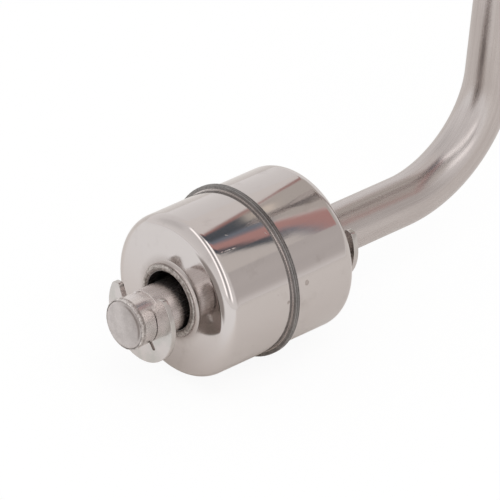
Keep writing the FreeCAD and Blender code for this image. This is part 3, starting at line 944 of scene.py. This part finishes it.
def lay_stem_end(sizes):
    bright = weld_steel("stem_end_weld", (0.42, 0.38, 0.36), (0.82, 0.78, 0.76), 0.25 * MM)
    low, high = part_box("stem_end_weld")
    crest = (high.y - low.y) / 2
    under_plug = PLUG_HIGH.y - 0.02 * MM
    under_tube = STEM_HIGH.y - 0.05 * MM
    corners = [(low.x, under_plug, 0), (low.x, crest - 0.04 * MM, 0.1 * MM),
               (STEM_LOW.x, crest + 0.02 * MM, 0.6 * MM), (high.x, STEM_HIGH.y + 0.01 * MM, 0),
               (high.x, under_tube, 0), (STEM_LOW.x, under_tube, 0), (STEM_LOW.x, under_plug, 0)]
    lay("stem", "stem_end_weld", "_band", rounded(corners, steps=6), bright,
        sizes.stem_ripples, sizes.depth * 0.6, grain=1400.0, seed=0.1, centre=LEG_AXIS)


def lay_fitting(sizes):
    material = weld_steel("stem_weld", (0.24, 0.215, 0.20), (0.60, 0.55, 0.53), 0.2 * MM)
    low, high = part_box("fitting_weld")
    inner = STEM_HIGH.y + 0.01 * MM
    profile = [(high.z, inner)]
    steps = 16
    for k in range(steps + 1):
        t = k / steps
        hollow = sizes.hollow * math.sin(math.pi * t)
        profile.append((high.z + (low.z - high.z) * t + hollow,
                        high.y + (inner - high.y) * t - hollow))
    lay("stem", "fitting_weld", "_bead", profile, material, sizes.stem_ripples,
        sizes.depth * 1.6, grain=1500.0, seed=0.5, centre=ORIGIN, axis=2)


class SWITCH_OT_welds(bpy.types.Operator):
    """Lay the welds: the float's seam and necks, the stem's end and its fitting"""
    bl_idname = "switch.welds"
    bl_label = "Welds"

    def execute(self, context):
        sizes = context.scene.switch_welds
        lay_seam(sizes, context.scene.switch_float)
        lay_mouths(sizes)
        lay_stem_end(sizes)
        lay_fitting(sizes)
        return {"FINISHED"}


def hexagon_bar(corner, foot, head):
    """Six-sided bar that is longer than the hexagon."""
    shape = bmesh.new()
    angles = [math.radians(60 * k) for k in range(6)]
    low, high = [[shape.verts.new(ring_point(2, ORIGIN, z, corner, a)) for a in angles]
                 for z in (foot - MM, head + MM)]
    for k in range(6):
        shape.faces.new([low[k - 1], low[k], high[k], high[k - 1]])
    shape.faces.new(low)
    shape.faces.new(high)
    return shape


def make_stud(sizes, steel):
    """Threaded sheet of the stud, joined to the lining of its bore."""
    foot = GASKET_LOW.z
    top = FITTING_HIGH.z
    stud = new_object("mount_stud", bpy.data.meshes.new("stud"))
    with_nodes(stud, thread_tree(steel), Sides=sizes.sides, Rows=sizes.rows, Foot=foot,
               Length=top - foot, Crest=sizes.stud_radius, Depth=sizes.thread_depth,
               Pitch=sizes.pitch, Bevel=sizes.stud_bevel, Relief=sizes.relief_height,
               Relief_Radius=sizes.relief_radius)
    shape = bmesh.new()
    shape.from_mesh(stud.data)
    rims = [min(v.co.xy.length for v in shape.verts if abs(v.co.z - z) < HAIR / 10)
            for z in (foot, top)]
    profile = [(foot, rims[0]), (foot, sizes.bore), (top, sizes.bore), (top, rims[1])]
    lining = finish_mesh(turned(profile, ORIGIN, sizes.sides, axis=2, closed=False), "lining")
    shape.from_mesh(lining)
    bpy.data.meshes.remove(lining)
    joined(shape, 2 * HAIR)
    stud.data = finish_mesh(shape, "stud", sharp=40)
    dress(stud, "stem", "mount_fitting", steel)


class SWITCH_OT_fitting(bpy.types.Operator):
    """Make the hexagon with its bevelled corners and the threaded hollow stud"""
    bl_idname = "switch.fitting"
    bl_label = "Mounting Fitting"

    def execute(self, context):
        sizes = context.scene.switch_fitting
        steel = bar_steel(sizes.stud_radius)
        corner = (FITTING_HIGH.y - FITTING_LOW.y) / math.sqrt(3)
        outside = corner + 10 * HAIR
        foot = FITTING_LOW.z
        head = GASKET_LOW.z
        socket_r = STEM_HIGH.y + sizes.socket_play
        rim = corner - sizes.hexagon_bevel
        drop = sizes.hexagon_bevel / math.sqrt(3)
        profile = [(foot, socket_r), (foot, rim), (foot + drop, outside), (head - drop, outside),
                   (head, rim), (head, sizes.bore), (STEM_HIGH.z, sizes.bore), (STEM_HIGH.z, socket_r)]
        body = turned_piece("mount_hexagon", profile, ORIGIN, 192, axis=2)
        prism = new_object("hexagon_bar", finish_mesh(hexagon_bar(corner, foot, head), "bar"))
        cut = body.modifiers.new("bar", "BOOLEAN")
        cut.operation = "INTERSECT"
        cut.solver = "EXACT"
        cut.object = prism
        baked(body)
        bpy.data.objects.remove(prism)
        smooth(body.data, sharp=20)
        dress(body, "stem", "mount_fitting", steel)
        make_stud(sizes, steel)
        return {"FINISHED"}


class SWITCH_OT_gasket(bpy.types.Operator):
    """Mould the rubber gasket, with rounded rims"""
    bl_idname = "switch.gasket"
    bl_label = "Gasket"

    def execute(self, context):
        sizes = context.scene.switch_fitting
        low, high = GASKET_LOW.z, GASKET_HIGH.z
        corners = [(low, sizes.gasket_bore), (high, sizes.gasket_bore),
                   (high, GASKET_HIGH.y), (low, GASKET_HIGH.y)]
        profile = rounded([(*corner, sizes.gasket_edge) for corner in corners], steps=5)
        gasket = turned_piece("gasket_ring", profile, ORIGIN, 128, axis=2)
        base = look().rubber
        rubber = plastic("gasket_rubber", scaled(base, 0.7), scaled(base, 1.5), 0.62, 0.12 * MM, 1.2e-5)
        dress(gasket, "stem", "gasket", rubber)
        return {"FINISHED"}


def insulation(name, base, rough):
    return plastic(name, scaled(base, 0.8), scaled(base, 1.15), rough, 0.15 * MM, 6.0e-6)


class SWITCH_OT_insides(bpy.types.Operator):
    """Finish the parts inside: magnet and holder, reed contact, sleeve, wires and potting"""
    bl_idname = "switch.insides"
    bl_label = "Inner Parts"

    def execute(self, context):
        finishes = look()
        reed = metal("reed_alloy", (0.42, 0.40, 0.36), (0.60, 0.57, 0.52), 0.22, 0.08 * MM)
        skins = {
            "ring_magnet": plastic("ferrite", (0.035, 0.034, 0.036), (0.075, 0.073, 0.074), 0.6,
                                   0.1 * MM, 1.5e-5),
            "magnet_holder": metal("pressed_steel", (0.40, 0.37, 0.355), finishes.steel, 0.28,
                                   0.4 * MM),
            "reed_glass": clear_glass(),
            "fixed_reed": reed,
            "moving_reed": reed,
            "reed_sleeve": insulation("shrunk_sleeve", finishes.sleeve, 0.45),
            "signal_wire": insulation("signal_insulation", finishes.signal, 0.38),
            "return_wire": insulation("return_insulation", finishes.back, 0.38),
            "potting": insulation("cast_resin", finishes.potting, 0.2),
        }
        for node, material in skins.items():
            if not NODES[node].data.materials:
                NODES[node].data.materials.append(material)
            for slot in NODES[node].material_slots:
                slot.material = material
        return {"FINISHED"}


def make_floor(settings):
    """A floor that is nearly plain white to the camera and glows a little in mirrors."""
    b = Skin("floor")
    x, _, _ = b.split(b.here)
    white = b.mix(b.noise(30.0), (0.84, 0.835, 0.83), (0.86, 0.855, 0.85))
    matt = b.add("ShaderNodeBsdfDiffuse", {"Color": white})
    camera, glossy, through = b.rays()
    surface = b.mix_shaders(camera.largest(through) * 0.88, matt, b.glow(WHITE, 1.04))
    ahead = x.step(-60 * MM, -85 * MM)
    warm_to_cool = b.mix(ahead, (1.0, 0.80, 0.62), (0.95, 0.98, 1.0))
    bounce = b.glow(warm_to_cool, glossy * (0.12 + ahead * 0.2))
    surface = b.add("ShaderNodeAddShader", {0: surface, 1: bounce})
    gap = 0.1 * MM
    size = settings.floor_size
    floor = card("floor", size, size, (0, 0, CAD_BOX[0][2] - gap), b.close(surface))


def card(name, width, depth, centre, material):
    """A level rectangle."""
    mesh = bpy.data.meshes.new(name)
    x, y, z = centre
    corners = [(x + sx * width / 2, y + sy * depth / 2, z)
               for sx, sy in ((-1, -1), (1, -1), (1, 1), (-1, 1))]
    mesh.from_pydata(corners, [], [(0, 1, 2, 3)])
    mesh.materials.append(material)
    return new_object(name, mesh)


def make_ceiling():
    """A striped panel over the switch, which only its shiny metal shows.

    Its pattern is laid out in mm: x from the switch's origin, y from the float's axis. A
    curve (past) parts the stripes of the front from the pale field with its marks behind.
    """
    b = Skin("ceiling")
    x, y, _ = b.split(b.here)
    ragged = b.streaks((x, y, 0.0), (100, 300, 0), 4.0, 0.65) - 0.5
    fine = b.streaks((x, y, 0.0), (450, 900, 0), 3.0, 0.6) - 0.5
    x = x / MM + ragged * 5 + fine * 2
    y = (y - FLOAT_AXIS.y) / MM + ragged * 15 + fine * 6
    past = x - 15.7 - y * y * 0.0038
    below = x + y
    wedge = y + x * 1.62
    band = y - past * 1.9 - 40
    half = past * 0.3 + 4
    spread = (past * 0.055 + 1.9).largest(0.9)
    front = b.ramp(y / spread / 75 + 0.6, FRONT_STOPS)
    front = b.mix(past.hump(-2.2, 2.8) * y.hump(20, 19) * 0.85, front, TAN)
    rear = b.mix(y.step(-30, -60), ROOM, DIM_ROOM)
    for mask, tone in (
            (band.step(-3, -7) * below.step(0, 6), GREY),
            ((band + half).step(0, 4) * (half - band).step(0, 4), DEEP_RED),
            (past.hump(2.5, 3.5) * y.hump(20, 15), TAN),
            (y.hump(5, 3) * past.hump(5, 5), GLINT),
            (below.step(4, -4) * wedge.step(-4, 1), RED),
            (wedge.hump(-5, 6) * below.step(4, -4), DULL_BLUE)):
        rear = b.mix(mask, rear, tone)
    material = b.close(b.glow(b.mix(past.step(-0.5, 0.5), front, rear)))
    centre = FLOAT_AXIS + Vector((100, 0, 100)) * MM
    mirrored_only(card("ceiling", 180 * MM, 200 * MM, centre, material))


def mirrored_only(panel):
    """Hides a card from all rays but glossy ones."""
    for ray in ("camera", "diffuse", "transmission", "volume_scatter", "shadow"):
        setattr(panel, "visible_" + ray, False)


def make_dark_reflection_card():
    """A dim card low in front of the free end, which only shiny metal shows: a painted dark reflection.
    """
    b = Skin("dark_reflection_card")
    centre = FLOAT_AXIS + Vector((-29.5, -4, 1)) * MM
    reach = b.span(b.vector("SUBTRACT", b.here, centre))
    clear = b.add("ShaderNodeBsdfTransparent")
    # Painted dark reflection: a dim glowing disc that only mirrors show.
    dark_reflection = b.mix_shaders(reach.step(11.0 * MM, 7.0 * MM), clear, b.glow((0.40, 0.37, 0.35)))
    side = 24 * MM
    patch = card("dark_reflection_card", side, side, ORIGIN, b.close(dark_reflection))
    upright = Matrix.Rotation(math.pi / 2, 4, "Y")
    patch.data.transform(Matrix.Translation(centre) @ upright)
    mirrored_only(patch)


def make_world(settings):
    """White to the camera; to mirrors a pale room with two bright strips and dim fields."""
    world = bpy.data.worlds.new("white_room")
    world.use_nodes = True
    world.node_tree.nodes.clear()
    b = Board(world.node_tree)
    x, y, z = b.split(b.add("ShaderNodeTexCoord"))
    outer = (x - y * 0.45).hump(0.16, 0.15) * y.step(0.10, 0.0)
    inner = (x - y * 0.65).hump(-0.265, 0.15) * y.step(0.52, 0.42)
    gap = (x - y * 0.55).hump(-0.05, 0.16) * y.step(0.3, 0.1)
    bars = (outer + inner - gap * 0.4) * z.step(0.1, 0.22)
    wall = y.step(0.5, 0.62) * z.hump(0.5, 0.42) * x.hump(-0.33, 0.4)
    dim = x.step(0.1, 0.4) * y.step(0.1, -0.3) * z.step(-0.08, 0.15)
    room = 0.96 - z.largest(0.0) * 0.15 + bars - wall * 0.12 - dim * (0.26 + z.hump(0.2, 0.2) * 0.04)
    camera, glossy, through = b.rays()
    straight = camera.largest(through)
    strength = straight + (1 - straight) * (glossy * room + (1 - glossy) * settings.sky)
    tint = b.mix(dim, (1.0, 0.985, 0.98), (1.0, 0.955, 0.93))
    sky = b.add("ShaderNodeBackground", {"Color": b.mix(glossy, WHITE, tint), "Strength": strength})
    b.add("ShaderNodeOutputWorld", {"Surface": sky})
    bpy.context.scene.world = world


def facing(stand, back):
    """Matrix of an upright lamp or camera at stand that looks away from back."""
    return Matrix.Translation(stand) @ back.to_track_quat("Z", "Y").to_matrix().to_4x4()


def add_lamp(settings):
    """A large soft lamp that mirrors don't show."""
    data = bpy.data.lights.new("soft_lamp", "AREA")
    data.energy = settings.lamp_power
    data.size = settings.lamp_size
    lamp = new_object("soft_lamp", data)
    lamp.visible_glossy = False
    stand = Vector((-0.25, -0.35, 0.75))
    lamp.matrix_world = facing(stand, (stand - FLOAT_AXIS).normalized())


def aim_camera(settings):
    """A far camera with a long lens, aimed between the float and the bend."""
    turn, rise = settings.azimuth, settings.elevation
    back = Vector((math.sin(turn) * math.cos(rise), -math.cos(turn) * math.cos(rise), math.sin(rise)))
    aim = LEG_AXIS + Vector((-35.369, 12.456, -8.377)) * MM
    data = bpy.data.cameras.new("camera")
    data.lens = settings.lens
    data.sensor_width = 36.0
    camera = new_object("camera", data)
    roll = Matrix.Rotation(settings.roll, 4, "Z")
    camera.matrix_world = facing(aim + back * settings.distance, back) @ roll
    bpy.context.scene.camera = camera


class SWITCH_OT_stage(bpy.types.Operator):
    """Set the pale floor, the soft lamp, the mirrored surroundings and the camera"""
    bl_idname = "switch.stage"
    bl_label = "Stage"

    def execute(self, context):
        settings = context.scene.switch_stage
        context.scene.view_settings.view_transform = "Standard"
        make_floor(settings)
        make_ceiling()
        make_dark_reflection_card()
        make_world(settings)
        add_lamp(settings)
        aim_camera(settings)
        return {"FINISHED"}


class SWITCH_PT_parts(bpy.types.Panel):
    """The switch's pieces, in the order in which they are made"""
    bl_label = "Level Switch"
    bl_space_type = "VIEW_3D"
    bl_region_type = "UI"
    bl_category = "Level Switch"

    def draw(self, context):
        for maker in OPERATORS:
            self.layout.operator(maker.bl_idname)


SETTINGS = {
    "switch_stem": StemSizes,
    "switch_clips": ClipSizes,
    "switch_float": FloatSizes,
    "switch_welds": WeldSizes,
    "switch_fitting": FittingSizes,
    "switch_finishes": Finishes,
    "switch_stage": StageSettings,
}
OPERATORS = (SWITCH_OT_stem, SWITCH_OT_stem_end, SWITCH_OT_clips, SWITCH_OT_float, SWITCH_OT_welds,
             SWITCH_OT_fitting, SWITCH_OT_gasket, SWITCH_OT_insides, SWITCH_OT_stage)


def register():
    for name, group in SETTINGS.items():
        bpy.utils.register_class(group)
        setattr(bpy.types.Scene, name, PointerProperty(type=group))
    for maker in OPERATORS:
        bpy.utils.register_class(maker)
    bpy.utils.register_class(SWITCH_PT_parts)


def unregister():
    bpy.utils.unregister_class(SWITCH_PT_parts)
    for maker in reversed(OPERATORS):
        bpy.utils.unregister_class(maker)
    for name, group in SETTINGS.items():
        delattr(bpy.types.Scene, name)
        bpy.utils.unregister_class(group)


def main():
    register()
    for maker in OPERATORS:
        family, name = maker.bl_idname.split(".")
        getattr(getattr(bpy.ops, family), name)()


if __name__ == "__main__":
    main()
